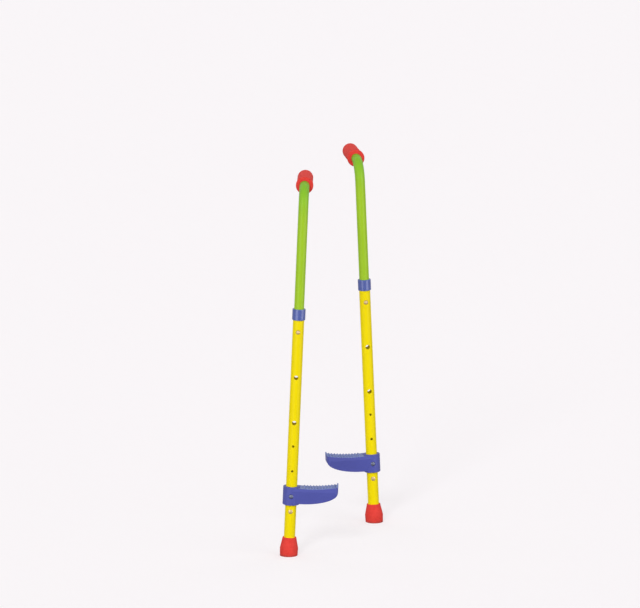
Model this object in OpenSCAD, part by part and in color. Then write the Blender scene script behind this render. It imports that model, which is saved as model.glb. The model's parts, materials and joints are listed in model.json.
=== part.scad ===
// Pair of telescoping stilts for children: bent tube handles, bolted footrests and rubber feet.
// Each stilt is drawn upright about its own tube: Z runs up the tube from the middle of the sole,
// +X points to the other stilt and +Y to the back, where the handle goes. stand_left() and
// stand_right() then place it.

/* [Stance] */
// Lean of each stilt towards the other, in degrees
lean = 2.4; // [0:0.1:4]
// Distance across between the two soles
stance_w = 193; // [160:1:320]
// Distance from the front sole to the back sole
stride = 320; // [100:2:500]
// Inward turn of the left stilt about its tube, in degrees
left_turn = 1; // [0:1:12]
// Inward turn of the right stilt about its tube, in degrees
right_turn = 8; // [0:1:12]

/* [Lower tube] */
// Outer diameter of the lower tube
lower_d = 25; // [24:0.5:28]
// Wall of the lower tube
lower_wall = 1.2; // [0.8:0.1:1.6]
// Length of the lower tube
lower_len = 549; // [520:1:600]
// Distance from the tube's top end down to the highest latch hole
latch_drop = 48.5; // [40:0.5:60]
// Distance from one latch hole to the next
latch_step = 103; // [90:1:110]
// Distance from the tube's bottom end up to the lowest footrest hole
rest_rise = 127.5; // [110:0.5:140]
// Distance from one footrest hole to the next
rest_step = 56.8; // [50:0.2:60]
// Distance from the tube's bottom end up to the stop rivet
rivet_rise = 92; // [80:1:98]

/* [Upper tube] */
// Wall of the upper tube
upper_wall = 1.2; // [0.8:0.1:1.6]
// Gap all round between the two tubes
tube_gap = 0.3; // [0.2:0.05:0.5]
// Length of the upper tube that stays in the lower tube when drawn out
overlap = 130; // [120:1:132]
// Length of the upper tube from its lower end to the bend
upper_leg = 356; // [320:1:400]
// Radius of the bend at the tube's centre line
bend_r = 45; // [35:1:60]
// Straight tube left bare between the bend and the grip
grip_gap = 5; // [2:1:12]

/* [Grip] */
// Length of the grip
grip_len = 104; // [90:1:120]
// Diameter of the guard ring at the end nearest to the bend
guard_d = 38.8; // [37:0.2:44]
// Length of the guard ring along the grip
guard_t = 7.5; // [6:0.5:10]
// Diameter of the grip behind the guard ring
grip_d = 35.6; // [32:0.2:36]
// Diameter of the grip at its closed end
grip_end_d = 35; // [32:0.2:36]
// Thickness of the grip's closed end
grip_end_t = 8; // [5:1:12]
// Rounding of the closed end
grip_end_r = 10; // [6:1:14]
// Rounding of the guard ring's front edge
guard_r = 2.5; // [2:0.1:3]

/* [Collar] */
// Outer diameter of the collar
collar_d = 29.4; // [29:0.2:34]
// Height of the collar
collar_h = 25; // [18:1:34]
// Height of the lip that stands above the lower tube
collar_lip = 3; // [2:0.5:6]
// Gap between the lip and the upper tube
lip_gap = 0.25; // [0.2:0.05:0.5]
// Edge chamfer of the moulded pieces
edge = 0.8; // [0.4:0.1:1.2]

/* [Latch] */
// Diameter of the snap button
button_d = 9; // [7:0.5:9]
// How far the snap button stands out of the lower tube
button_rise = 2.5; // [2:0.1:4]
// Gap round the snap button in its holes
button_gap = 0.3; // [0.2:0.05:0.5]
// Diameter of the snap button's stem
stem_d = 4; // [3:0.5:5]
// Diameter of the rivet head on the stem
stem_head_d = 6; // [5.5:0.5:7]
// Thickness of the rivet head on the stem
stem_head_t = 0.7; // [0.5:0.1:1]
// Width of the spring strip
spring_w = 9; // [8:0.5:10]
// Thickness of the spring strip
spring_t = 0.8; // [0.6:0.1:1]
// Distance from the button down to the middle of the spring's bend
spring_drop = 45; // [35:1:48]
// Length of strip above the button
spring_tail = 8; // [6:1:12]
// Height of the spring's back leg
spring_back = 36; // [25:1:40]
// Thickness of the glide plug's flange
plug_flange = 3; // [2:0.5:4]
// Length of the glide plug's stem
plug_stem = 14; // [10:1:16]
// Wall of the glide plug
plug_wall = 2; // [1.5:0.1:3]

/* [Footrest] */
// Outer diameter of the clamp sleeve
sleeve_d = 37.5; // [36:0.5:42]
// Height of the clamp sleeve
sleeve_h = 41.4; // [38:0.2:48]
// Distance from the bolt down to the sleeve's lower edge
sleeve_below = 20.6; // [18:0.2:22]
// Reach of the arm from the tube's axis to its tip
arm_reach = 104; // [90:1:130]
// Distance from the bolt down to the arm's lowest edge
arm_below = 16.8; // [14:0.2:18]
// Distance from the bolt up to the parting line, where the arm is widest
line_above = 12.2; // [8:0.2:14]
// Distance from the bolt up to the lowest point of the tread
tread_above = 18.4; // [16:0.2:20]
// Distance from the tube's axis to the lowest point of the tread
tread_x = 40; // [30:1:50]
// Radius of the dished tread, seen from the front
tread_r = 300; // [200:10:600]
// Width of the arm along its parting line
arm_w = 37.5; // [34:0.5:42]
// Width of the arm along the tread
tread_w = 33; // [28:0.5:34]
// Width of the arm along its lower edge
keel_w = 30; // [26:0.5:33]
// Distance from the tube's axis to where the lower edge starts to rise
keel_x = 24; // [22:1:40]
// Corner radius of the arm's tip, seen from above
tip_r = 7; // [4:0.5:9]
// Wall of the moulding
arm_wall = 2.6; // [2:0.1:3]
// Thickness of the tread plate
tread_t = 3.4; // [2.5:0.1:4]
// Thickness of the ribs under the tread
rib_t = 2; // [1.5:0.1:2.5]
// Number of bays between the ribs
bays = 4; // [3:1:5]
// Number of teeth across the tread
teeth = 11; // [8:1:12]
// Distance from one tooth to the next
tooth_step = 6.7; // [6:0.1:6.8]
// Height of a tooth
tooth_h = 1.8; // [1:0.1:2.4]
// Width of a tooth at its foot
tooth_w = 4.2; // [3:0.1:4.6]
// Width of a tooth at its top
tooth_top = 1.6; // [1:0.1:2]
// Height of the lip at the arm's tip
lip_h = 3; // [2:0.1:4]
// Thickness of the lip at the arm's tip
lip_t = 3; // [2:0.1:4]

/* [Fasteners] */
// Diameter of the footrest bolt
bolt_d = 5; // [4:0.5:5]
// Diameter of the bolt's domed head
bolt_head_d = 9.5; // [8:0.5:10]
// Height of the bolt's domed head
bolt_head_h = 2.8; // [2:0.1:3.5]
// Width across the flats of the bolt's socket
socket_w = 3; // [2.5:0.5:4]
// Depth of the bolt's socket
socket_h = 1.6; // [1:0.1:2]
// Height of the straight rim under a domed head
head_rim = 0.6; // [0.4:0.1:1]
// Depth of the flat under the bolt head, from the sleeve's surface
seat_depth = 1.75; // [1.4:0.05:2.2]
// Width across the flats of the nut
nut_w = 8; // [7:0.5:9]
// Height of the nut
nut_h = 4; // [3:0.1:4.2]
// Gap round the bolt in its holes
bolt_gap = 0.2; // [0.1:0.05:0.3]
// Gap between the bolt and the nut, whose threads are left plain
thread_gap = 0.05; // [0.03:0.01:0.1]
// Gap of pieces that push on or seat in each other
fit_gap = 0.15; // [0.1:0.05:0.2]
// Diameter of the stop rivet's shank
rivet_d = 5; // [4:0.5:6]
// Diameter of the stop rivet's domed head
rivet_head_d = 10; // [8:0.5:11]
// Height of the stop rivet's domed head
rivet_head_h = 2.4; // [1.5:0.1:3]
// Length of the stop rivet's set end inside the tube
rivet_tail_h = 2; // [1.5:0.1:3]
// Diameter of the stop rivet's set end inside the tube
rivet_tail_d = 7; // [6.5:0.5:8]

/* [Foot] */
// Height of the rubber foot
foot_h = 42; // [36:1:54]
// Diameter of the foot at its top
foot_top_d = 30.6; // [30:0.2:36]
// Largest diameter of the foot
foot_wide_d = 40.8; // [38:0.2:46]
// Diameter of the foot at the ground
foot_base_d = 39.4; // [36:0.2:40]
// Height of the foot's largest diameter
foot_wide_h = 17; // [14:1:22]
// Thickness of the sole
sole_t = 9; // [7:0.5:12]
// Depth of the grooves in the sole
groove_h = 1.6; // [1:0.1:2.5]
// Width of the grooves in the sole
groove_w = 2.2; // [1.5:0.1:3]
// Number of ring grooves in the sole
grooves = 3; // [1:1:3]
// Distance from one ring groove to the next
groove_step = 5.4; // [4.5:0.1:5.5]
// Diameter of the washer in the foot
washer_d = 24; // [22:0.5:25]
// Hole of the washer in the foot
washer_hole = 10; // [8:0.5:14]
// Thickness of the washer in the foot
washer_t = 1.5; // [1:0.1:2]

/* [Hidden] */
$fn = 96;
over = 1;
arc_steps = 8;
curve_steps = 14;
lower_bore = lower_d - 2 * lower_wall;
upper_d = lower_bore - 2 * tube_gap;
upper_bore = upper_d - 2 * upper_wall;
seat_d = lower_d + 2 * fit_gap;
lower_z = sole_t + washer_t;
lower_top = lower_z + lower_len;
latch_z = lower_top - latch_drop;
latch_holes = [for (i = [0:2]) latch_z - i * latch_step];
rest_z = lower_z + rest_rise;
rest_holes = [for (i = [0:2]) rest_z + i * rest_step];
rivet_z = lower_z + rivet_rise;
latch_hole_d = button_d + 2 * button_gap;
bolt_hole_d = bolt_d + 2 * bolt_gap;
rivet_hole_d = rivet_d + 2 * fit_gap;
upper_z = lower_top - overlap;
bend_z = upper_z + upper_leg;
handle_z = bend_z + bend_r;
handle_len = grip_gap + grip_len - grip_end_t;
grip_y = bend_r + grip_gap;
collar_z = lower_top + collar_lip - collar_h;
spring_y = sqrt(pow(upper_bore / 2, 2) - pow(spring_w / 2, 2)) - fit_gap;
sleeve_z = rest_z - sleeve_below;
line_z = rest_z + line_above;
keel_z = rest_z - arm_below;
arm_top = sleeve_z + sleeve_h - 2 * edge;
bolt_seat = sleeve_d / 2 - seat_depth;
nut_seat = sleeve_d / 2 - nut_h - fit_gap;
// Reach of the back grip behind its own sole, so that the pair stands centred on the origin
grip_reach = (grip_y + grip_len - grip_end_r) * cos(right_turn)
    + (grip_end_d / 2 - grip_end_r) * sin(right_turn) + grip_end_r;
centre_y = (grip_reach - foot_wide_d / 2) / 2;

// Points of a round corner, from angle a to angle b about [x, y]
function corner(x, y, r, a, b) =
    [for (i = [0:arc_steps]) let (t = a + (b - a) * i / arc_steps) [x + r * cos(t), y + r * sin(t)]];

// Height of the dished tread at x
function tread(x) = rest_z + tread_above + pow(x - tread_x, 2) / (2 * tread_r);

// Puts a stilt on the ground on the left, leaning and turned towards the other
module stand_left() {
    translate([-stance_w / 2, -stride / 2 - centre_y, 0])
        rotate([0, lean, 0]) rotate([0, 0, -left_turn]) children();
}

// Puts a mirrored stilt on the ground on the right, a stride further back
module stand_right() {
    translate([stance_w / 2, stride / 2 - centre_y, 0])
        mirror([1, 0, 0]) rotate([0, lean, 0]) rotate([0, 0, -right_turn]) children();
}

// Turns a shape that lies level on the ground into the frame of a stilt
module on_ground(turn) {
    rotate([0, 0, turn]) rotate([0, -lean, 0]) children();
}

// Points a shape that was drawn up Z to the front of a stilt, at height z
module to_front(z) {
    translate([0, 0, z]) rotate([90, 0, 0]) children();
}

// Points a shape that was drawn up Z to the back of a stilt, at height z
module to_back(z) {
    translate([0, 0, z]) rotate([-90, 0, 0]) children();
}

module hole_across(d, z) {
    to_front(z) cylinder(d = d, h = 2 * sleeve_d, center = true);
}

module hexagon(across, h) {
    cylinder(d = across / cos(30), h = h, $fn = 6);
}

// Cap of the sphere that has this width and height
module dome(d, h) {
    ball_r = (d * d / 4 + h * h) / (2 * h);
    intersection() {
        translate([0, 0, h - ball_r]) sphere(r = ball_r);
        cylinder(d = d, h = h);
    }
}

// Domed head of a bolt or rivet, with a straight rim
module dome_head(d, h) {
    cylinder(d = d, h = head_rim);
    translate([0, 0, head_rim]) dome(d, h - head_rim);
}

// Outer tube, with latch holes and footrest holes drilled through both walls
module lower_tube() {
    color("gold") difference() {
        translate([0, 0, lower_z]) cylinder(d = lower_d, h = lower_len);
        translate([0, 0, lower_z - over]) cylinder(d = lower_bore, h = lower_len + 2 * over);
        for (z = latch_holes) hole_across(latch_hole_d, z);
        for (z = rest_holes) hole_across(bolt_hole_d, z);
        to_front(rivet_z) cylinder(d = rivet_hole_d, h = lower_d);
    }
}

// Rubber ferrule, whose soft sole settles flat on the ground under the leaning tube
module foot(turn) {
    below = foot_base_d / 2 * tan(lean) + over;
    color("tomato") difference() {
        rotate_extrude() polygon([
            [0, -below],
            [foot_base_d / 2, -below],
            [foot_base_d / 2, 0],
            [foot_wide_d / 2, foot_wide_h],
            each corner(foot_top_d / 2 - edge, foot_h - edge, edge, 0, 90),
            [0, foot_h]
        ]);
        translate([0, 0, sole_t]) cylinder(d = seat_d, h = foot_h);
        on_ground(turn) {
            translate([0, 0, -2 * below]) cylinder(d = 2 * foot_wide_d, h = 2 * below);
            for (i = [1:grooves]) difference() {
                cylinder(r = i * groove_step + groove_w / 2, h = groove_h);
                cylinder(r = i * groove_step - groove_w / 2, h = groove_h);
            }
        }
    }
}

// Disc that spreads the load of the tube's cut end over the sole
module foot_washer() {
    color("silver") translate([0, 0, sole_t]) difference() {
        cylinder(d = washer_d, h = washer_t);
        translate([0, 0, -over]) cylinder(d = washer_hole, h = washer_t + 2 * over);
    }
}

// Outline of the arm from the front: a toothed, dished tread over a keel that sweeps up to the tip
module arm_front() {
    first_tooth = arm_reach - lip_t / 2 - teeth * tooth_step;
    root_x = first_tooth - tooth_w / 2;
    polygon([
        [0, keel_z],
        for (i = [0:curve_steps]) let (t = 90 * i / curve_steps)
            [keel_x + (arm_reach - keel_x) * sin(t), line_z - (line_z - keel_z) * cos(t)],
        [arm_reach, tread(arm_reach) + lip_h],
        [arm_reach - lip_t, tread(arm_reach) + lip_h],
        [arm_reach - lip_t, tread(arm_reach - lip_t)],
        for (i = [teeth - 1:-1:0]) let (x = first_tooth + i * tooth_step) each [
            [x + tooth_w / 2, tread(x + tooth_w / 2)],
            [x + tooth_top / 2, tread(x) + tooth_h],
            [x - tooth_top / 2, tread(x) + tooth_h],
            [x - tooth_w / 2, tread(x - tooth_w / 2)]
        ],
        for (i = [1:arc_steps]) let (x = root_x * (1 - i / arc_steps)) [x, min(tread(x), arm_top)]
    ]);
}

// Outline of the hollow under the tread, from the front
module hollow_front() {
    end_x = arm_reach - arm_wall;
    polygon([
        [0, sleeve_z],
        [end_x, sleeve_z],
        for (i = [curve_steps:-1:0]) let (x = end_x * i / curve_steps) [x, tread(x) - tread_t]
    ]);
}

// Outline of the arm from its tip: widest at the parting line, drafted above and below it
module arm_end(inset) {
    low = sleeve_z;
    top = tread(arm_reach) + lip_h + over;
    polygon([
        [-keel_w / 2 + inset, low],
        [keel_w / 2 - inset, low],
        [arm_w / 2 - inset, line_z],
        [tread_w / 2 - inset, top],
        [-tread_w / 2 + inset, top],
        [-arm_w / 2 + inset, line_z]
    ]);
}

// Block with the arm's outline from above: straight sides and a tip with round corners
module arm_above(inset) {
    reach = arm_reach - inset;
    half = arm_w / 2 - inset;
    round_r = tip_r - inset;
    tall = 2 * sleeve_h;
    translate([0, 0, sleeve_z]) {
        translate([0, -half, 0]) cube([reach - round_r, 2 * half, tall]);
        translate([0, round_r - half, 0]) cube([reach, 2 * (half - round_r), tall]);
        for (side = [-1, 1])
            translate([reach - round_r, side * (half - round_r), 0]) cylinder(r = round_r, h = tall);
    }
}

// Moulded form that has the three outlines at once
module arm_form(inset) {
    intersection() {
        rotate([90, 0, 0]) linear_extrude(height = 2 * arm_w, center = true) children();
        rotate([90, 0, 90]) linear_extrude(height = arm_reach) arm_end(inset);
        arm_above(inset);
    }
}

// Stiffening ribs across the hollow and one web along it
module ribs() {
    bay = (arm_reach - arm_wall - sleeve_d / 2) / bays;
    for (i = [1:bays - 1])
        translate([sleeve_d / 2 + i * bay - rib_t / 2, -arm_w, sleeve_z])
            cube([rib_t, 2 * arm_w, 2 * sleeve_h]);
    translate([0, -rib_t / 2, sleeve_z]) cube([arm_reach, rib_t, 2 * sleeve_h]);
}

// Moulded step: a sleeve bolted round the tube and a hollow, ribbed arm
module footrest() {
    color("slateblue") difference() {
        union() {
            difference() {
                arm_form(0) arm_front();
                difference() {
                    arm_form(arm_wall) hollow_front();
                    ribs();
                }
            }
            translate([0, 0, sleeve_z]) rotate_extrude() polygon([
                [0, 0],
                [sleeve_d / 2 - edge, 0],
                [sleeve_d / 2, edge],
                [sleeve_d / 2, sleeve_h - edge],
                [sleeve_d / 2 - edge, sleeve_h],
                [0, sleeve_h]
            ]);
        }
        translate([0, 0, sleeve_z - over]) cylinder(d = seat_d, h = sleeve_h + sleeve_below);
        hole_across(bolt_hole_d, rest_z);
        to_front(rest_z) translate([0, 0, bolt_seat]) cylinder(d = bolt_head_d + 2 * head_rim, h = sleeve_d);
        to_back(rest_z) translate([0, 0, nut_seat]) hexagon(nut_w + 2 * fit_gap, sleeve_d);
    }
}

// Bolt through the sleeve and the tube, with a socket in its domed head
module footrest_bolt() {
    bolt_end = nut_seat + nut_h;
    color("darkgray") to_front(rest_z) {
        translate([0, 0, -bolt_end]) cylinder(d = bolt_d, h = bolt_end + bolt_seat);
        translate([0, 0, bolt_seat]) difference() {
            dome_head(bolt_head_d, bolt_head_h);
            translate([0, 0, bolt_head_h - socket_h]) hexagon(socket_w, bolt_head_h);
        }
    }
}

module footrest_nut() {
    color("darkgray") to_back(rest_z) translate([0, 0, nut_seat]) difference() {
        hexagon(nut_w, nut_h);
        translate([0, 0, -over]) cylinder(d = bolt_d + 2 * thread_gap, h = nut_h + 2 * over);
    }
}

// Rivet in the front wall of the tube, its head hollowed to sit on the round surface
module stop_rivet() {
    rim_y = sqrt(pow(lower_d / 2, 2) - pow(rivet_head_d / 2, 2)) - over;
    tail_y = sqrt(pow(lower_bore / 2, 2) - pow(rivet_tail_d / 2, 2)) - fit_gap;
    color("silver") {
        difference() {
            to_front(rivet_z) {
                translate([0, 0, rim_y]) cylinder(d = rivet_head_d, h = lower_d / 2 - rim_y);
                translate([0, 0, lower_d / 2]) dome_head(rivet_head_d, rivet_head_h);
            }
            cylinder(d = seat_d, h = lower_top);
        }
        to_front(rivet_z) {
            translate([0, 0, tail_y]) cylinder(d = rivet_d, h = lower_d / 2 + head_rim - tail_y);
            translate([0, 0, tail_y - rivet_tail_h]) cylinder(d = rivet_tail_d, h = rivet_tail_h);
        }
    }
}

// Collar pushed over the top of the lower tube, with a lip that guides the upper tube
module collar() {
    lip_r = upper_d / 2 + lip_gap;
    color("royalblue") translate([0, 0, collar_z]) rotate_extrude() polygon([
        [seat_d / 2, 0],
        [collar_d / 2 - edge, 0],
        [collar_d / 2, edge],
        [collar_d / 2, collar_h - edge],
        [collar_d / 2 - edge, collar_h],
        [lip_r, collar_h],
        [lip_r, collar_h - collar_lip],
        [seat_d / 2, collar_h - collar_lip]
    ]);
}

// Solid rod along the upper tube's path: up the leg, round the bend and back along the handle
module upper_path(d, extra) {
    translate([0, 0, upper_z - extra]) cylinder(d = d, h = upper_leg + extra);
    translate([0, bend_r, bend_z]) rotate([90, 0, -90])
        rotate_extrude(angle = 90) translate([bend_r, 0]) circle(d = d);
    translate([0, bend_r, 0]) to_back(handle_z) cylinder(d = d, h = handle_len + extra);
}

// Inner tube, bent back into the handle, with a hole for the snap button
module upper_tube() {
    color("yellowgreen") difference() {
        upper_path(upper_d, 0);
        upper_path(upper_bore, over);
        to_front(latch_z) cylinder(d = latch_hole_d, h = lower_d);
    }
}

// Rubber grip pushed on the handle, with a guard ring at the bend and a closed round end
module grip() {
    bore_r = upper_d / 2 + fit_gap;
    step_r = (guard_d - grip_d) / 6;
    color("tomato") translate([0, grip_y, 0]) to_back(handle_z) rotate_extrude() polygon([
        [bore_r, 0],
        each corner(guard_d / 2 - guard_r, guard_r, guard_r, -90, 0),
        each corner(guard_d / 2 - step_r, guard_t - step_r, step_r, 0, 90),
        each corner(grip_d / 2 + step_r, guard_t + step_r, step_r, 270, 180),
        each corner(grip_end_d / 2 - grip_end_r, grip_len - grip_end_r, grip_end_r, 0, 90),
        [0, grip_len],
        [0, grip_len - grip_end_t],
        [bore_r, grip_len - grip_end_t]
    ]);
}

// Hollow plug that guides the lower end of the upper tube
module glide_plug() {
    stem_r = upper_bore / 2 - fit_gap;
    color("dimgray") translate([0, 0, upper_z]) difference() {
        union() {
            translate([0, 0, -plug_flange]) cylinder(d = lower_bore - 2 * fit_gap, h = plug_flange);
            cylinder(r = stem_r, h = plug_stem);
        }
        translate([0, 0, -plug_flange - over])
            cylinder(r = stem_r - plug_wall, h = plug_flange + plug_stem + 2 * over);
    }
}

// Spring strip bent to a U, whose front leg carries the button
module snap_spring() {
    bend_at = latch_z - spring_drop;
    color("silver") difference() {
        union() {
            translate([-spring_w / 2, -spring_y, bend_at])
                cube([spring_w, spring_t, spring_drop + spring_tail]);
            translate([-spring_w / 2, spring_y - spring_t, bend_at])
                cube([spring_w, spring_t, spring_back]);
            translate([0, 0, bend_at]) rotate([-90, 0, 0]) rotate([0, 90, 0]) rotate_extrude(angle = 180)
                translate([spring_y - spring_t, -spring_w / 2]) square([spring_t, spring_w]);
        }
        to_front(latch_z) cylinder(d = stem_d + 2 * fit_gap, h = lower_d);
    }
}

// Domed button, riveted to the spring by its stem
module snap_button() {
    color("silver") to_front(latch_z) {
        translate([0, 0, spring_y]) cylinder(d = button_d, h = lower_d / 2 - spring_y);
        translate([0, 0, lower_d / 2]) dome(button_d, button_rise);
        translate([0, 0, spring_y - spring_t]) cylinder(d = stem_d, h = spring_t);
        translate([0, 0, spring_y - spring_t - stem_head_t]) cylinder(d = stem_head_d, h = stem_head_t);
    }
}

stand_left() lower_tube();  // left_lower_tube
stand_left() foot(left_turn);  // left_foot
stand_left() foot_washer();  // left_foot_washer
stand_left() footrest();  // left_footrest
stand_left() footrest_bolt();  // left_footrest_bolt
stand_left() footrest_nut();  // left_footrest_nut
stand_left() stop_rivet();  // left_stop_rivet
stand_left() collar();  // left_collar
stand_left() upper_tube();  // left_upper_tube
stand_left() grip();  // left_grip
stand_left() glide_plug();  // left_glide_plug
stand_left() snap_spring();  // left_snap_spring
stand_left() snap_button();  // left_snap_button
stand_right() lower_tube();  // right_lower_tube
stand_right() foot(right_turn);  // right_foot
stand_right() foot_washer();  // right_foot_washer
stand_right() footrest();  // right_footrest
stand_right() footrest_bolt();  // right_footrest_bolt
stand_right() footrest_nut();  // right_footrest_nut
stand_right() stop_rivet();  // right_stop_rivet
stand_right() collar();  // right_collar
stand_right() upper_tube();  // right_upper_tube
stand_right() grip();  // right_grip
stand_right() glide_plug();  // right_glide_plug
stand_right() snap_spring();  // right_snap_spring
stand_right() snap_button();  // right_snap_button
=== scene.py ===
# %% [markdown]
# # A pair of telescoping stilts
# A child's stilts are two yellow lower tubes, two green handles that slide in them, and moulded and rubber
# pieces on both. The solids come ready from the CAD part, in metres and in place. They could all be drawn
# again here, but then the two models would drift apart. So this lesson keeps most of them, draws only the
# footrests, nuts and rivets anew, and adds soft edges, finishes, light and a camera. The box round the solids
# is measured first, because nothing added may outgrow it.

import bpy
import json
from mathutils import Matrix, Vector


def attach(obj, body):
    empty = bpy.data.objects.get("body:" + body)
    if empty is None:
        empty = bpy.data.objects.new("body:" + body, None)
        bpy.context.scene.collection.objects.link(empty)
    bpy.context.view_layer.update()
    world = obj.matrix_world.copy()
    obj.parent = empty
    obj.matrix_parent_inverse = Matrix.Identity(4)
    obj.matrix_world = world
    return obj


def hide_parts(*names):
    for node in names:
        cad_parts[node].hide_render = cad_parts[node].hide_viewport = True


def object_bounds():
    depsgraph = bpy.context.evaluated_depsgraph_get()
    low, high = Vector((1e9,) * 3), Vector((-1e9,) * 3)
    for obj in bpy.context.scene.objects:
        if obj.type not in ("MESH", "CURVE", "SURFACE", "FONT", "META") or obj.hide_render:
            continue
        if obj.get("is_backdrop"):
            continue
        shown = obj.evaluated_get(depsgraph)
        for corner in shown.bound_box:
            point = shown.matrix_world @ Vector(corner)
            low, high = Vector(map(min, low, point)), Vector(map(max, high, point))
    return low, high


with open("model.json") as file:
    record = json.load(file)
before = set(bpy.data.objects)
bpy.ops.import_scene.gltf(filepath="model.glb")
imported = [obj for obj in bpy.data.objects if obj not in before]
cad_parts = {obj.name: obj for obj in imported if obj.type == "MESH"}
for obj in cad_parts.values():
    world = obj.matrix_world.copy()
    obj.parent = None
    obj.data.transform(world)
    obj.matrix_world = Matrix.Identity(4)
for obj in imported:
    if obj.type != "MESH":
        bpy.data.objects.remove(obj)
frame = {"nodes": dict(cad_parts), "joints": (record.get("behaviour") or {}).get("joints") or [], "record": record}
solid_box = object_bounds()
print("solids:", len(frame["nodes"]), "box from", solid_box[0][:], "to", solid_box[1][:])

# %% [markdown]
# ## Where each stilt stands
# The stilts lean and turn a little, so patterns such as rub marks along a tube are easier to draw in the
# stilt's own directions. They could be typed in as numbers. Here they are read from the joints: the height
# slide runs up the tube and the button is pressed straight back, so a changed stance needs no new numbers.

# %% Directions of each stilt
from mathutils import Vector

SIDES = ("left", "right")
slide_axis = {joint["name"]: Vector(joint["axis"]).normalized() for joint in frame["joints"]}
mount_at = {mount["name"]: Vector(mount["pos_m"]) for mount in frame["record"]["mounts"]}
stilts = {}
for side in SIDES:
    up = slide_axis[f"{side}_height_slide"]
    back = slide_axis[f"{side}_button_press"]
    inward = back.cross(up) * (1 if side == "left" else -1)
    stilts[side] = {"sole": mount_at[f"{side}_sole"], "inward": inward, "back": back, "up": up}
    print(side, "stands at", stilts[side]["sole"][:], "and points up along", up[:])

# %% [markdown]
# ## Soft edges
# Pressed steel, rubber and moulded plastic never have knife edges: each edge is broken by a fraction of a
# millimetre and catches a thin line of light. The edges could be rounded by hand in a new mesh. Modifiers do
# it without touching the solids: Weld joins faces that the file keeps apart, Bevel rounds what turns sharply,
# and Weighted Normal keeps the flat faces flat. The tubes need none of this, because their ends are hidden in
# other pieces and their finish wears the rims of their holes.

# %% Round the edges of the solids
import math
import bpy

MM = 0.001  # the scene is in metres, and the sizes of pieces and patterns here are in millimetres
EDGE_ROUNDING = {
    "foot": 0.5, "foot_washer": 0.2, "footrest_bolt": 0.2, "collar": 0.3, "grip": 0.3,
    "glide_plug": 0.3, "snap_spring": 0.15, "snap_button": 0.2,
}
JOIN_FACES = 0.01
SHARP_FROM = math.radians(30)
LARGE_FACES_LEAD = 60


def even_shading(piece):
    """Shades a piece after its large faces, so that flat ones stay flat beside a rounded edge."""
    shade = piece.modifiers.new("even_shading", "WEIGHTED_NORMAL")
    shade.mode = "FACE_AREA_WITH_ANGLE"
    return shade


def round_edges(piece, width):
    """Adds the three modifiers that soften a piece's edges; width is in millimetres."""
    weld = piece.modifiers.new("join_faces", "WELD")
    weld.merge_threshold = JOIN_FACES * MM
    bevel = piece.modifiers.new("round_edges", "BEVEL")
    bevel.width = width * MM
    bevel.segments = 3
    bevel.limit_method = "ANGLE"
    bevel.angle_limit = SHARP_FROM
    bevel.material = 1
    even_shading(piece).weight = LARGE_FACES_LEAD


for side in SIDES:
    for name, width in EDGE_ROUNDING.items():
        round_edges(frame["nodes"][f"{side}_{name}"], width)
print("rounded", len(EDGE_ROUNDING) * len(SIDES), "solids")

# %% [markdown]
# ## Pieces drawn anew
# Some pieces get a new mesh in place of their solid. All of them sit on a lower half, so one helper turns a
# finished form into such a piece: it makes the object, lets it ride on the lower halves and has it stand for
# the solid. Each piece could do that for itself, but then one of them would sooner or later be left behind.

# %% Put a new piece on a lower half
import bmesh

NEEDLE = 0.002


def put_on_lower_half(form, name, node):
    """Turns a form into a piece that rides on the lower halves and stands for a solid."""
    mesh = bpy.data.meshes.new(name)
    form.to_mesh(mesh)
    form.free()
    piece = bpy.data.objects.new(name, mesh)
    bpy.context.scene.collection.objects.link(piece)
    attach(piece, "lower_halves")
    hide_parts(node)
    print(piece.name, "has", len(mesh.polygons), "faces and stands for", node)
    return piece


print("edges of new pieces shorter than", NEEDLE, "mm are closed up")

# %% [markdown]
# ## Footrest mouldings
# The footrest is one moulding with a dished, toothed tread on top and a ribbed underside. A mould rounds the
# edges that stand out, and leaves valleys, the parting line and the bolt's pockets crisp. A modifier would
# stop at the shortest edge of all. So the faces are copied, cleaned of needless edges and bevelled in mesh
# code, edge by edge, and the copy stands for the solid.

# %% Footrests with moulded edges
REST_HEIGHT = 138.0
POCKET_RADIUS = 6.5
MOULD_ROUNDING = 0.35
JOIN_POINTS = 0.02
FLAT_BELOW, CRISP_FROM, ROUND_FROM = math.radians(1), math.radians(10), math.radians(15)
UPRIGHT_BELOW = 0.3  # how far a face may look up or down and still count as upright


def outer_edges(form, side):
    """The edges that stand out, apart from those of the bolt's pockets and the upright ones at the tip."""
    up, back = stilts[side]["up"], stilts[side]["back"]
    bolt = stilts[side]["sole"] + up * REST_HEIGHT * MM
    picked = []
    for edge in form.edges:
        far = max((corner.co - bolt).cross(back).length for corner in edge.verts) > POCKET_RADIUS * MM
        upright = all(abs(face.normal.dot(up)) < UPRIGHT_BELOW for face in edge.link_faces)
        if far and not upright and edge.calc_face_angle_signed(0) > ROUND_FROM:
            picked.append(edge)
    return picked


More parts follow.
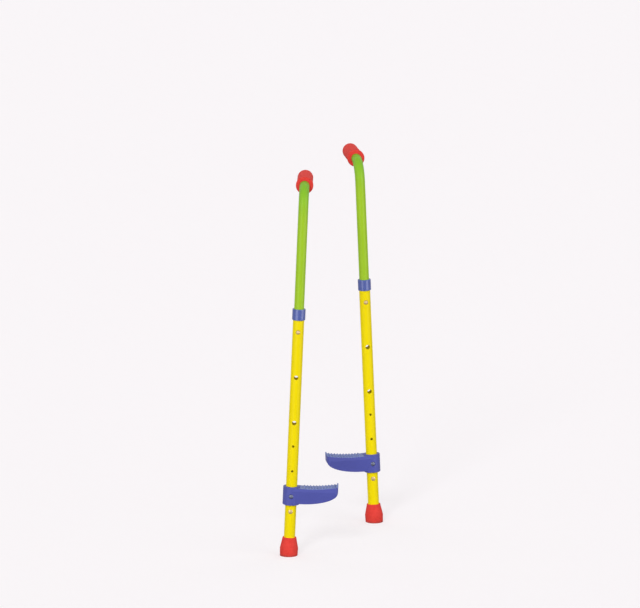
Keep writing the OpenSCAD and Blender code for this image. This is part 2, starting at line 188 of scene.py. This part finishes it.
def moulded_footrest(side):
    """A copy of a footrest whose outer edges are rounded as a mould rounds them."""
    node = f"{side}_footrest"
    form = bmesh.new()
    form.from_mesh(frame["nodes"][node].data)
    bmesh.ops.remove_doubles(form, verts=form.verts, dist=JOIN_POINTS * MM)
    bmesh.ops.dissolve_limit(form, angle_limit=FLAT_BELOW, verts=form.verts[:], edges=form.edges[:])
    for face in form.faces:
        face.smooth = True
    rounded = outer_edges(form, side)
    for edge in form.edges:
        edge.smooth = edge.calc_face_angle(0) < CRISP_FROM
    for edge in rounded:
        edge.smooth = True
    bevel = bmesh.ops.bevel(form, geom=rounded, offset=MOULD_ROUNDING * MM, offset_type="OFFSET", segments=2,
                            profile=0.5, affect="EDGES", clamp_overlap=False)
    for face in bevel["faces"]:
        face.material_index = 1
    bmesh.ops.dissolve_degenerate(form, dist=NEEDLE * MM, edges=form.edges[:])
    for edge in form.edges:
        edge.smooth = edge.smooth and edge.calc_face_angle_signed(0) > -CRISP_FROM
    piece = put_on_lower_half(form, f"{node}_moulding", node)
    even_shading(piece).keep_sharp = True
    return piece


footrests = [moulded_footrest(side) for side in SIDES]

# %% [markdown]
# ## Nuts and rivets
# A pressed nut is turned on its face, so a shallow cone cuts its six corners and leaves arcs on the flats. A
# rivet has a domed head whose underside follows the tube. Both could be cuts of two solids. Rings of points
# do it with less: a fastener is one outline carried round its axis, and the outline may change on the way,
# with the hexagon for the nut and with the tube's curve for the rivet.

# %% Fasteners made ring by ring
STEPS = 72
BEHIND, IN_FRONT = 1, -1


def ring_by_ring(side, name, node, height, facing, outline):
    """A fastener across the tube; outline(turn) gives its radii and its distances from the tube's axis."""
    way = stilts[side]
    middle = way["sole"] + way["up"] * height * MM
    form = bmesh.new()
    rings = []
    for step in range(STEPS):
        turn = 2 * math.pi * step / STEPS
        outward = math.cos(turn) * way["inward"] + math.sin(turn) * way["up"]
        rings.append([form.verts.new(middle + (radius * outward + depth * facing * way["back"]) * MM)
                      for radius, depth in outline(turn)])
    for here, there in zip(rings, rings[1:] + rings[:1]):
        for i in range(len(here)):
            form.faces.new((here[i - 1], here[i], there[i], there[i - 1]))
    bmesh.ops.remove_doubles(form, verts=form.verts, dist=NEEDLE * MM)
    bmesh.ops.recalc_face_normals(form, faces=form.faces)
    piece = put_on_lower_half(form, f"{side}_{name}", f"{side}_{node}")
    piece.data.shade_smooth()
    piece.data.set_sharp_from_angle(angle=ROUND_FROM)
    return piece


print("each fastener goes round in", STEPS, "steps")

# %% [markdown]
# ## Chamfered nuts
# The nut sits behind the footrest, in its pocket. Its outline runs from the bore round the outside and back,
# and where the hexagon's outer ring lies follows from the cone. A bevel would cut all edges of the hexagon
# alike, and the arcs on its flats would be lost.

# %% Nuts
NUT_SEAT, NUT_HEIGHT, NUT_HALF_WIDTH = 14.6, 4.0, 4.0
NUT_BORE, FACE_RADIUS, LEAD_IN = 2.55, 3.75, 0.35
CONE = math.radians(30)


def nut_outline(turn):
    """The nut's outline, with the hexagon's radius at that turn."""
    hexagon = NUT_HALF_WIDTH / math.cos(turn % (math.pi / 3) - math.pi / 6)
    shoulder = NUT_HEIGHT - (hexagon - FACE_RADIUS) * math.tan(CONE)
    outline = [(NUT_BORE, 0), (hexagon, 0), (hexagon, shoulder), (FACE_RADIUS, NUT_HEIGHT),
               (NUT_BORE + LEAD_IN, NUT_HEIGHT), (NUT_BORE, NUT_HEIGHT - LEAD_IN)]
    return [(radius, NUT_SEAT + depth) for radius, depth in outline]


nuts = [ring_by_ring(side, "chamfered_nut", "footrest_nut", REST_HEIGHT, BEHIND, nut_outline)
        for side in SIDES]

# %% [markdown]
# ## Domed rivets
# The rivet below the footrest keeps it from sliding to the foot. A ball cut by the tube would give its head a
# knife edge. So its outline starts on top of the dome, goes round a soft rim and along the tube to the shank,
# and ends at the flattened tail inside the tube.

# %% Rivets
RIVET_HEIGHT = 102.5
HEAD_RADIUS, HEAD_TOP, DOME_RADIUS, HEAD_SEAT = 5.0, 14.9, 7.844, 12.65
SHANK_RADIUS, TAIL_RADIUS, TAIL_FRONT, TAIL_END = 2.5, 3.5, 10.594, 8.594
RIM, RIM_STEP = 0.3, 0.09
DOME_RINGS, UNDER_RINGS = 10, 4


def rivet_outline(turn):
    """The rivet's outline, with the tube's curve at that turn under its head."""
    def on_tube(radius):
        return radius, math.sqrt(HEAD_SEAT ** 2 - (radius * math.cos(turn)) ** 2)

    def on_dome(radius):
        return radius, HEAD_TOP - DOME_RADIUS + math.sqrt(DOME_RADIUS ** 2 - radius ** 2)

    dome = [on_dome((HEAD_RADIUS - RIM) * ring / DOME_RINGS) for ring in range(DOME_RINGS + 1)]
    dome_end, tube_start = on_dome(HEAD_RADIUS)[1], on_tube(HEAD_RADIUS)[1]
    rim = [(HEAD_RADIUS - RIM_STEP, dome_end), (HEAD_RADIUS, dome_end - RIM),
           (HEAD_RADIUS, tube_start + RIM / 2), on_tube(HEAD_RADIUS - RIM / 2)]
    ledge = HEAD_RADIUS - RIM / 2 - SHANK_RADIUS
    under = [on_tube(SHANK_RADIUS + ledge * ring / UNDER_RINGS) for ring in reversed(range(UNDER_RINGS))]
    tail = [(SHANK_RADIUS, TAIL_FRONT), (TAIL_RADIUS - RIM, TAIL_FRONT), (TAIL_RADIUS, TAIL_FRONT - RIM),
            (TAIL_RADIUS, TAIL_END + RIM), (TAIL_RADIUS - RIM, TAIL_END), (0, TAIL_END)]
    return dome + rim + under + tail


rivets = [ring_by_ring(side, "domed_rivet", "stop_rivet", RIVET_HEIGHT, IN_FRONT, rivet_outline)
          for side in SIDES]

# %% [markdown]
# ## Small tools for drawing finishes
# A finish is a small graph of nodes. It could be drawn in the node editor, but then nobody could read it
# here. Each line below adds one node and gives back its result, so that a finish reads like a recipe.

# %% Node helpers
MIX_SHARE, MIX_FIRST, MIX_SECOND, MIX_RESULT = 0, 6, 7, 2  # a Mix node's sockets for colours


def add(tree, kind, inputs=(), **settings):
    """Adds a node, sets its options and feeds its inputs with numbers or other nodes' results."""
    node = tree.nodes.new(kind)
    for key, value in settings.items():
        setattr(node, key, value)
    for key, value in dict(inputs).items():
        if isinstance(value, bpy.types.NodeSocket):
            tree.links.new(value, node.inputs[key])
        else:
            node.inputs[key].default_value = value
    return node


def calc(tree, operation, first, second=0.0):
    """One sum on two numbers."""
    return add(tree, "ShaderNodeMath", {0: first, 1: second}, operation=operation).outputs[0]


def plus(tree, first, second):
    return calc(tree, "ADD", first, second)


def minus(tree, first, second):
    return calc(tree, "SUBTRACT", first, second)


def times(tree, first, second):
    return calc(tree, "MULTIPLY", first, second)


def fade(tree, value, start, end, low=0.0, high=1.0):
    """Goes smoothly from low to high while value goes from start to end."""
    ends = {"Value": value, "From Min": start, "From Max": end, "To Min": low, "To Max": high}
    return add(tree, "ShaderNodeMapRange", ends, interpolation_type="SMOOTHSTEP").outputs[0]


def mix(tree, share, first, second):
    """Mixes two colours."""
    colours = {MIX_SHARE: share, MIX_FIRST: first, MIX_SECOND: second}
    return add(tree, "ShaderNodeMix", colours, data_type="RGBA").outputs[MIX_RESULT]


print("helpers for nodes:", [helper.__name__ for helper in (add, calc, plus, minus, times, fade, mix)])

# %% [markdown]
# ## Places and patterns
# Patterns could be laid on with a UV map, but a tube's map has a seam and stretches at the bend. Here they
# are placed in millimetres along the stilt: inward, back and up from the middle of its sole. They stay on the
# metal when a handle slides, because they use its place at rest.

# %% Places and patterns


def place_on(tree, side):
    """The place on a stilt in millimetres: as one vector, and as its parts inward, back and up."""
    way = stilts[side]
    spot = add(tree, "ShaderNodeTexCoord").outputs["Object"]
    spot = add(tree, "ShaderNodeVectorMath", {0: spot, 1: way["sole"]}, operation="SUBTRACT").outputs[0]
    parts = []
    for name in ("inward", "back", "up"):
        along = add(tree, "ShaderNodeVectorMath", {0: spot, 1: way[name] / MM}, operation="DOT_PRODUCT")
        parts.append(along.outputs["Value"])
    return add(tree, "ShaderNodeCombineXYZ", enumerate(parts)).outputs[0], parts


def apart(tree, first, second):
    """The distance from a line, given the two distances across it."""
    return calc(tree, "SQRT", plus(tree, times(tree, first, first), times(tree, second, second)))


def grain(tree, place, size, detail=2.0, stretch=(1, 1, 1)):
    """Cloudy noise from 0 to 1 whose blotches are about size millimetres."""
    scale = [share / size for share in stretch]
    moved = add(tree, "ShaderNodeVectorMath", {0: place, 1: scale}, operation="MULTIPLY").outputs[0]
    return add(tree, "ShaderNodeTexNoise", {"Vector": moved, "Scale": 1.0, "Detail": detail}).outputs[0]


def raise_up(tree, height, amount):
    """A surface that stands out where height is 1, by amount millimetres."""
    bump = add(tree, "ShaderNodeBump", {"Height": height, "Strength": 1.0, "Distance": amount * MM})
    return bump.outputs["Normal"]


print("helpers for patterns:", [helper.__name__ for helper in (place_on, apart, grain, raise_up)])

# %% [markdown]
# ## From a finish to a dressed piece
# Each piece exists once on the left and once on the right, and each gets a finish of its own, because its
# patterns are measured along its own stilt. Handling breaks up the colour on rounded edges. A pointiness node
# would find those edges only where the mesh is dense. The bevels already put their faces in a second material
# slot, so a rubbed copy of the finish goes there.

# %% Colours, finishes and dressing


def ink(*levels):
    """A colour in levels from 0 to 255, as a paint program shows it, made linear for the shader."""
    shares = [level / 255 for level in levels]
    return (*(s / 12.92 if s <= 0.04045 else ((s + 0.055) / 1.055) ** 2.4 for s in shares), 1.0)


def new_finish(name, **fixed):
    """A finish to fill in: its material, its node tree and its main shader, with some sockets fixed."""
    material = bpy.data.materials.new(name)
    material.use_nodes = True
    shader = material.node_tree.nodes["Principled BSDF"]
    for key, value in fixed.items():
        shader.inputs[key.replace("_", " ")].default_value = value
    return material, material.node_tree, shader


def feed(tree, shader, **results):
    """Links results to the main shader, by socket name with underscores for spaces."""
    for key, value in results.items():
        tree.links.new(value, shader.inputs[key.replace("_", " ")])


def rubbed(material, side, tone, share):
    """A copy of a finish for rounded edges, where handling has broken the colour up."""
    edge = material.copy()
    edge.name = f"{material.name}_edge"
    tree = edge.node_tree
    shader = tree.nodes["Principled BSDF"]
    place = place_on(tree, side)[0]
    spots = fade(tree, grain(tree, place, 1.7, detail=4), 0.4, 0.62, high=share)
    whole = shader.inputs["Base Color"].links[0].from_socket
    feed(tree, shader, Base_Color=mix(tree, spots, whole, tone))
    return edge


def dress(pieces, finish, tone=None, share=0.5):
    """Gives the left and the right piece a finish, and a rubbed one for edges if a tone is given."""
    for side, piece in zip(SIDES, pieces):
        slots = piece.data.materials
        slots.clear()
        slots.append(finish(side))
        if tone:
            slots.append(rubbed(slots[0], side, tone, share))
    print("dressed", [piece.name for piece in pieces])


def solids(name):
    """The left and the right solid of that name."""
    return [frame["nodes"][f"{side}_{name}"] for side in SIDES]


print("pieces to dress:", len(frame["nodes"]))

# %% [markdown]
# ## Powder coat on the lower tube
# Powder coat is a thick baked paint: even in colour, half glossy, with a shallow orange peel. It could be one
# plain colour, but close up the peel and the rubbed rims are what tell paint from plastic. The powder is
# thin inside the tube and in the holes, so the coat is darker there and the zinc shows through in spots.

# %% Yellow powder coat
TUBE_RADIUS = 12.5
COAT_THINS = (TUBE_RADIUS - 0.1, TUBE_RADIUS - 0.3)
LATCH_HEIGHTS, LATCH_HOLE, LATCH_WEAR = (511.0, 408.0, 305.0), 4.8, 0.35
REST_HEIGHTS, REST_HOLE, REST_WEAR = (REST_HEIGHT, 194.8, 251.6), 2.7, 0.3


def rim_wear(tree, spots, inward, up, heights, radius, width):
    """1 at the rim of each hole in a row, broken up by spots and fading over width millimetres."""
    worn = 0.0
    for height in heights:
        away = apart(tree, inward, minus(tree, up, height))
        away = plus(tree, away, times(tree, spots, -width))
        worn = calc(tree, "MAXIMUM", worn, fade(tree, away, radius + width, radius))
    return worn


def orange_peel(tree, place):
    """The shallow waves that powder leaves when it melts."""
    return raise_up(tree, grain(tree, place, 1.8, detail=1), 0.012)


def yellow_coat(side):
    """Yellow paint with faint scuffs and worn rims round the holes, thin inside the tube."""
    material, tree, shader = new_finish(f"yellow_coat_{side}", Specular_IOR_Level=0.12)
    place, (inward, back, up) = place_on(tree, side)
    spots = grain(tree, place, 1.1, detail=3)
    colour = mix(tree, grain(tree, place, 45), ink(240, 217, 0), ink(244, 222, 4))
    scuff = fade(tree, grain(tree, place, 2.2, detail=4, stretch=(1, 1, 0.18)), 0.62, 0.76, high=0.3)
    colour = mix(tree, scuff, colour, ink(206, 186, 40))
    rims = calc(tree, "MAXIMUM", rim_wear(tree, spots, inward, up, LATCH_HEIGHTS, LATCH_HOLE, LATCH_WEAR),
                rim_wear(tree, spots, inward, up, REST_HEIGHTS, REST_HOLE, REST_WEAR))
    colour = mix(tree, times(tree, rims, 0.5), colour, ink(196, 168, 40))
    inside = fade(tree, apart(tree, inward, back), *COAT_THINS)
    thin = mix(tree, fade(tree, spots, 0.55, 0.75), ink(226, 196, 6), ink(178, 170, 120))
    rough = fade(tree, grain(tree, place, 9), 0.3, 0.7, 0.36, 0.44)
    rough = plus(tree, rough, times(tree, scuff, 0.8))
    feed(tree, shader, Base_Color=mix(tree, inside, colour, thin), Roughness=rough,
         Normal=orange_peel(tree, place))
    return material


dress(solids("lower_tube"), yellow_coat)

# %% [markdown]
# ## Powder coat on the handle tube
# The green handle has the same paint, and it slides through the collar each time the height is changed, so
# it carries faint lines along its length. They could be drawn as separate scratches. Noise that is pulled
# out along the tube gives the same lines, and a fade keeps them to the part that slides. Another fade paints
# shade on the bend, a deeper green where its top faces away from the lamps, and inside the leg the zinc is bare.

# %% Green powder coat
SLIDES_FROM, SLIDES_TO = (530.0, 560.0), (795.0, 770.0)
PAINTED_SHADE_ON_BEND = (755.0, 845.0)
BARE_WITHIN, BARE_BELOW = (10.7, 10.5), (700.0, 690.0)


def green_coat(side):
    """Green paint with lines along the part that slides, painted shade on the bend and bare inside the leg."""
    material, tree, shader = new_finish(f"green_coat_{side}", Specular_IOR_Level=0.2)
    place, (inward, back, up) = place_on(tree, side)
    colour = mix(tree, grain(tree, place, 38), ink(155, 195, 34), ink(162, 201, 40))
    slid = times(tree, fade(tree, up, *SLIDES_FROM), fade(tree, up, *SLIDES_TO))
    lines = fade(tree, grain(tree, place, 0.9, detail=3, stretch=(1, 1, 0.012)), 0.6, 0.72)
    lines = times(tree, times(tree, lines, slid), 0.3)
    colour = mix(tree, lines, colour, ink(190, 214, 110))
    # painted shade: the green is deeper on the bend, where the tube's top faces away from the lamps
    colour = mix(tree, fade(tree, up, *PAINTED_SHADE_ON_BEND), colour, ink(126, 183, 42))
    bare = times(tree, fade(tree, apart(tree, inward, back), *BARE_WITHIN), fade(tree, up, *BARE_BELOW))
    zinc = mix(tree, grain(tree, place, 1.1, detail=3), ink(120, 120, 118), ink(176, 176, 172))
    rough = fade(tree, grain(tree, place, 8), 0.3, 0.7, 0.33, 0.41)
    rough = plus(tree, rough, times(tree, lines, 0.5))
    feed(tree, shader, Base_Color=mix(tree, bare, colour, zinc), Roughness=rough,
         Metallic=times(tree, bare, 0.8), Normal=orange_peel(tree, place))
    return material


dress(solids("upper_tube"), green_coat)

# %% [markdown]
# ## Rubber
# Grips and feet are moulded in soft rubber, red right through and matt, with a fine pebbled skin from a
# blasted mould. A smooth red would look like paint. Cells a little under a millimetre make the pebbles,
# wider noise makes the cloudy red of a filled rubber, and the feet are darker and rougher along the bottom.

# %% Red rubber
PEBBLES_PER_MM = 1.4
FOOT_LOW_BAND = 6.0


def red_rubber(side, low_band_height=0.0):
    """Matt pebbled rubber; given a height, darker and rougher over that many millimetres at the bottom."""
    piece = "foot" if low_band_height else "grip"
    material, tree, shader = new_finish(f"red_rubber_{piece}_{side}", Specular_IOR_Level=0.12)
    place, (_, _, up) = place_on(tree, side)
    wide, fine = grain(tree, place, 14, detail=3), grain(tree, place, 3)
    cloud = plus(tree, times(tree, wide, 0.6), times(tree, fine, 0.4))
    colour = mix(tree, fade(tree, cloud, 0.3, 0.7), ink(219, 61, 53), ink(232, 72, 63))
    cells = {"Vector": place, "Scale": PEBBLES_PER_MM, "Smoothness": 0.6}
    pebbles = add(tree, "ShaderNodeTexVoronoi", cells, feature="SMOOTH_F1").outputs["Distance"]
    # painted shade: the rubber is darker in the low spots between the pebbles
    colour = mix(tree, fade(tree, pebbles, 0.35, 0.75, high=0.25), colour, ink(190, 48, 42))
    rough = fade(tree, cloud, 0.3, 0.7, 0.62, 0.74)
    # the foot is darker and rougher in a band along its bottom, where it meets the ground
    if low_band_height:
        spots = grain(tree, place, 2.4, detail=4)
        height = plus(tree, up, times(tree, spots, -low_band_height))
        low_band = fade(tree, height, low_band_height * 0.5, -low_band_height * 0.6, high=0.55)
        colour = mix(tree, low_band, colour, ink(120, 72, 62))
        rough = plus(tree, rough, times(tree, low_band, 0.3))
    feed(tree, shader, Base_Color=colour, Roughness=rough,
         Normal=raise_up(tree, minus(tree, 1.0, pebbles), 0.05))
    return material


dress(solids("grip"), red_rubber, ink(238, 118, 108), 0.5)
dress(solids("foot"), lambda side: red_rubber(side, FOOT_LOW_BAND), ink(196, 112, 100), 0.55)

# %% [markdown]
# ## Moulded plastic of the footrests
# The footrests are moulded in one piece, in a blue plastic with a fine spark-eroded skin. The tread is where
# shoes rub, so it is rougher, teeth and all, and it is painted paler, as painted light on its top.
# A painted mask could say where that is. The tread is a shallow arc seen from the front, so one sum tells
# what lies above it, and it needs no map.

# %% Blue moulded plastic
TREAD_HEIGHT, TREAD_MIDDLE, TREAD_RADIUS = 156.4, 40.0, 300.0
TREAD_EDGE = 0.5
TREAD_STARTS = (18.8, 19.8)


def blue_plastic(side):
    """Blue plastic with a fine skin, with painted light that makes the tread paler, and a rougher tread."""
    material, tree, shader = new_finish(f"blue_plastic_{side}")
    place, (inward, _, up) = place_on(tree, side)
    colour = mix(tree, grain(tree, place, 30, detail=3), ink(69, 75, 155), ink(76, 82, 163))
    dish = calc(tree, "POWER", minus(tree, inward, TREAD_MIDDLE), 2.0)
    above = minus(tree, up, times(tree, dish, 0.5 / TREAD_RADIUS))
    tread = fade(tree, above, TREAD_HEIGHT - TREAD_EDGE, TREAD_HEIGHT)
    tread = times(tree, tread, fade(tree, inward, *TREAD_STARTS))
    # painted light: the tread's top is painted paler, broken up by noise, and it is made rougher as well
    tread_light_and_rub = times(tree, tread, fade(tree, grain(tree, place, 5, detail=4), 0.25, 0.7, 0.55, 0.9))
    colour = mix(tree, tread_light_and_rub, colour, ink(120, 138, 190))
    skin = grain(tree, place, 0.55)
    rough = plus(tree, fade(tree, skin, 0.3, 0.7, 0.42, 0.52), times(tree, tread_light_and_rub, 0.15))
    feed(tree, shader, Base_Color=colour, Roughness=rough, Normal=raise_up(tree, skin, 0.03))
    return material


dress(footrests, blue_plastic, ink(128, 138, 190), 0.5)

# %% [markdown]
# ## Gloss plastic of the collars
# The collar is polished where it guides the handle, so it shows clear bands of the lamps. A low roughness
# does most of that. Very shallow rings, left by turning it into place, keep the bands from being perfect.

# %% Blue gloss plastic


def blue_collar(side):
    """Glossy blue plastic with shallow rings round the tube."""
    material, tree, shader = new_finish(f"blue_collar_{side}", Specular_IOR_Level=0.7)
    place = place_on(tree, side)[0]
    colour = mix(tree, grain(tree, place, 16), ink(70, 86, 158), ink(78, 94, 166))
    rings = grain(tree, place, 0.7, detail=3, stretch=(0.05, 0.05, 1))
    rough = fade(tree, grain(tree, place, 4, detail=3), 0.3, 0.75, 0.16, 0.24)
    feed(tree, shader, Base_Color=colour, Roughness=rough, Normal=raise_up(tree, rings, 0.006))
    return material


dress(solids("collar"), blue_collar, ink(132, 146, 200), 0.5)

# %% [markdown]
# ## Bright and dull steel
# The button, the rivet, the washer and the spring are bright plated steel, and the bolt and nut are dull
# zinc. Plain metal mirrors its surroundings, so it needs something to break the mirror: fine marks on the
# bright pieces, drawn out from front to back, and the patchy crystals of zinc on the bolt.

# %% Steel
CRYSTALS_PER_MM = 0.9


def steel(side):
    """Bright plated steel with fine marks from front to back."""
    material, tree, shader = new_finish(f"bright_steel_{side}", Metallic=1.0)
    place = place_on(tree, side)[0]
    patches = grain(tree, place, 2.5, detail=4)
    colour = mix(tree, patches, ink(198, 172, 122), ink(222, 198, 150))
    marks = grain(tree, place, 0.35, stretch=(1, 0.02, 1))
    rough = fade(tree, patches, 0.25, 0.75, 0.42, 0.56)
    feed(tree, shader, Base_Color=colour, Roughness=rough, Normal=raise_up(tree, marks, 0.008))
    return material


def grey_steel(side):
    """Dull zinc plating with patchy crystals."""
    material, tree, shader = new_finish(f"zinc_steel_{side}", Metallic=1.0)
    place = place_on(tree, side)[0]
    crystals = add(tree, "ShaderNodeTexVoronoi", {"Vector": place, "Scale": CRYSTALS_PER_MM}).outputs["Color"]
    tone = add(tree, "ShaderNodeSeparateColor", {0: crystals}).outputs[0]
    colour = mix(tree, tone, ink(108, 114, 136), ink(136, 142, 160))
    rough = fade(tree, tone, 0.0, 1.0, 0.4, 0.55)
    pits = grain(tree, place, 0.5, detail=3)
    feed(tree, shader, Base_Color=colour, Roughness=rough, Normal=raise_up(tree, pits, 0.01))
    return material


for name in ("snap_button", "foot_washer", "snap_spring"):
    dress(solids(name), steel, ink(232, 224, 206), 0.6)
dress(rivets, steel)
dress(solids("footrest_bolt"), grey_steel, ink(176, 180, 186), 0.6)
dress(nuts, grey_steel)

# %% [markdown]
# ## Plug in the handle tube
# The plug that closes the lower end of the handle tube and glides in the lower tube is black plastic. It is
# hidden in the lower tube and could stay plain, but the part may be taken apart to be looked at, so it gets a
# moulded skin and rubbed streaks as the rest does.

# %% Black plastic


def black_plastic(side):
    """Black plastic with streaks along the tube."""
    material, tree, shader = new_finish(f"black_plastic_{side}")
    place = place_on(tree, side)[0]
    streaks = grain(tree, place, 0.8, detail=3, stretch=(1, 1, 0.05))
    colour = mix(tree, streaks, ink(26, 26, 28), ink(58, 58, 60))
    rough = fade(tree, streaks, 0.3, 0.7, 0.45, 0.6)
    skin = grain(tree, place, 0.6)
    feed(tree, shader, Base_Color=colour, Roughness=rough, Normal=raise_up(tree, skin, 0.02))
    return material


dress(solids("glide_plug"), black_plastic, ink(86, 86, 88), 0.5)

# %% [markdown]
# ## Floor
# The stilts stand on a plain pale floor that runs out of sight. It could be lit until it is white, but then
# the stilts would be too bright as well. So the floor itself is a mid tone that takes the shadows, and
# adds the rest of its paleness only for the camera. Shiny surfaces see half of that and keep their colour.

# %% Pale floor
FLOOR_TONE, FLOOR_LIFT = ink(162, 161, 163), ink(209, 205, 206)
FLOOR_REACH = 60.0
FLOOR_SHINE = 0.5


def seen_by(tree, shine):
    """1 for the camera and for what is seen through glass, shine for reflections, 0 for all other light."""
    path = add(tree, "ShaderNodeLightPath").outputs
    straight = calc(tree, "MAXIMUM", path["Is Camera Ray"], path["Is Transmission Ray"])
    return calc(tree, "MAXIMUM", straight, times(tree, path["Is Glossy Ray"], shine))


corners = [(x * FLOOR_REACH, y * FLOOR_REACH, 0) for x, y in ((-1, -1), (1, -1), (1, 1), (-1, 1))]
floor_mesh = bpy.data.meshes.new("floor")
floor_mesh.from_pydata(corners, [], [(0, 1, 2, 3)])
floor = bpy.data.objects.new("floor", floor_mesh)
bpy.context.scene.collection.objects.link(floor)
floor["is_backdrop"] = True
floor_finish, tree, shader = new_finish("pale_floor", Base_Color=FLOOR_TONE, Roughness=0.9,
                                        Specular_IOR_Level=0.0, Emission_Color=FLOOR_LIFT)
feed(tree, shader, Emission_Strength=seen_by(tree, FLOOR_SHINE))
floor_mesh.materials.append(floor_finish)
print("floor reaches", FLOOR_REACH, "m each way")

# %% [markdown]
# ## Light
# A light close to the camera fills the front and shines into the holes of the tubes. A main light from the
# left gives the soft shadows, two fills model the round tubes, and two lights behind keep the far side
# readable. Area lamps would fade along the floor; suns light it evenly. Suns would burn out in bright metal,
# so they are kept out of reflections, and two tall strips show there as bands instead.

# %% Lamps
SUN_DISTANCE = 5.0
STRIP_HEIGHT, STRIP_DISTANCE = 1.8, 1.4


def aimed(name, lamp, azimuth, height, distance, target=Vector((0, 0, 0))):
    """Puts a lamp round the stilts; azimuth is counted from the front towards the right, in degrees."""
    a, e = math.radians(azimuth), math.radians(height)
    away = Vector((math.sin(a) * math.cos(e), -math.cos(a) * math.cos(e), math.sin(e)))
    holder = bpy.data.objects.new(name, lamp)
    holder.location = target + distance * away
    holder.rotation_euler = away.to_track_quat("Z", "Y").to_euler()
    bpy.context.scene.collection.objects.link(holder)
    return holder


def sun(name, azimuth, height, strength, spread):
    """A wide sun, which lights everything alike."""
    lamp = bpy.data.lights.new(name, "SUN")
    lamp.energy = strength
    lamp.angle = math.radians(spread)
    aimed(name, lamp, azimuth, height, SUN_DISTANCE).visible_glossy = False


def strip(name, azimuth, width, brightness):
    """A tall strip that is seen only in shiny surfaces."""
    lamp = bpy.data.lights.new(name, "AREA")
    lamp.shape = "RECTANGLE"
    lamp.size, lamp.size_y = width, STRIP_HEIGHT
    lamp.energy = brightness * math.pi * width * STRIP_HEIGHT
    holder = aimed(name, lamp, azimuth, 0, STRIP_DISTANCE, Vector((0, 0, STRIP_HEIGHT / 2)))
    holder.visible_camera = False
    holder.visible_diffuse = False


sun("front_light", 0, 13, 0.78, 9)
sun("main_light", -17, 30, 1.2, 15)
sun("left_fill", -62, 24, 0.4, 50)
sun("right_fill", 54, 24, 0.8, 50)
sun("back_light_left", -140, 26, 0.7, 60)
sun("back_light_right", 140, 26, 0.7, 60)
strip("left_strip", -34, 0.85, 2.2)
strip("right_strip", 56, 1.0, 2.2)

# %% [markdown]
# ## Surroundings
# Light comes from all round in a studio, reflected by its walls. A picture of a studio could give it, but a
# plain tone does as well for such simple shapes. It lights the stilts as a mid grey, and the camera and shiny
# surfaces see it as nearly white, as they do the floor.

# %% Surroundings
SKY_LIGHT, SKY_SEEN = ink(142, 142, 144), ink(246, 245, 247)
SKY_SHINE = 0.8

world = bpy.data.worlds.new("surroundings")
bpy.context.scene.world = world
world.use_nodes = True
tree = world.node_tree
sky_tone = mix(tree, seen_by(tree, SKY_SHINE), SKY_LIGHT, SKY_SEEN)
tree.links.new(sky_tone, tree.nodes["Background"].inputs["Color"])
print("the surroundings take", len(tree.nodes), "nodes")

# %% [markdown]
# ## Camera
# The stilts are seen from a little above and from far off, so that their tubes hardly narrow with distance.
# A long lens does that. Its place is worked out from the point in the middle of the picture, the angle and
# the distance, so that each of the three can be changed by itself.

# %% Camera
LOOK_AT = Vector((-0.02667, 0.0, 0.5244))
LOOK_DOWN = math.radians(12)
FAR = 17.957
LENS, SENSOR = 450, 36
SEES_UP_TO = 200

eye = bpy.data.cameras.new("camera")
eye.lens = LENS
eye.sensor_width = SENSOR
eye.clip_end = SEES_UP_TO
camera = bpy.data.objects.new("camera", eye)
gaze = Vector((0, math.cos(LOOK_DOWN), -math.sin(LOOK_DOWN)))
camera.location = LOOK_AT - FAR * gaze
camera.rotation_euler = gaze.to_track_quat("-Z", "Y").to_euler()
bpy.context.scene.collection.objects.link(camera)
bpy.context.scene.camera = camera
bpy.context.scene.view_settings.view_transform = "Standard"
print("camera at", camera.location[:])

# %% [markdown]
# ## Size
# The dressed stilts have to stay the size of the solids. So their box is measured again, and the largest
# change against the solids' box is printed.

# %% Compare the sizes
import json

dressed_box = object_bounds()
changes = [abs(a - b) for solid, dressed in zip(solid_box, dressed_box) for a, b in zip(solid, dressed)]
print("largest change in mm:", max(changes) / MM)
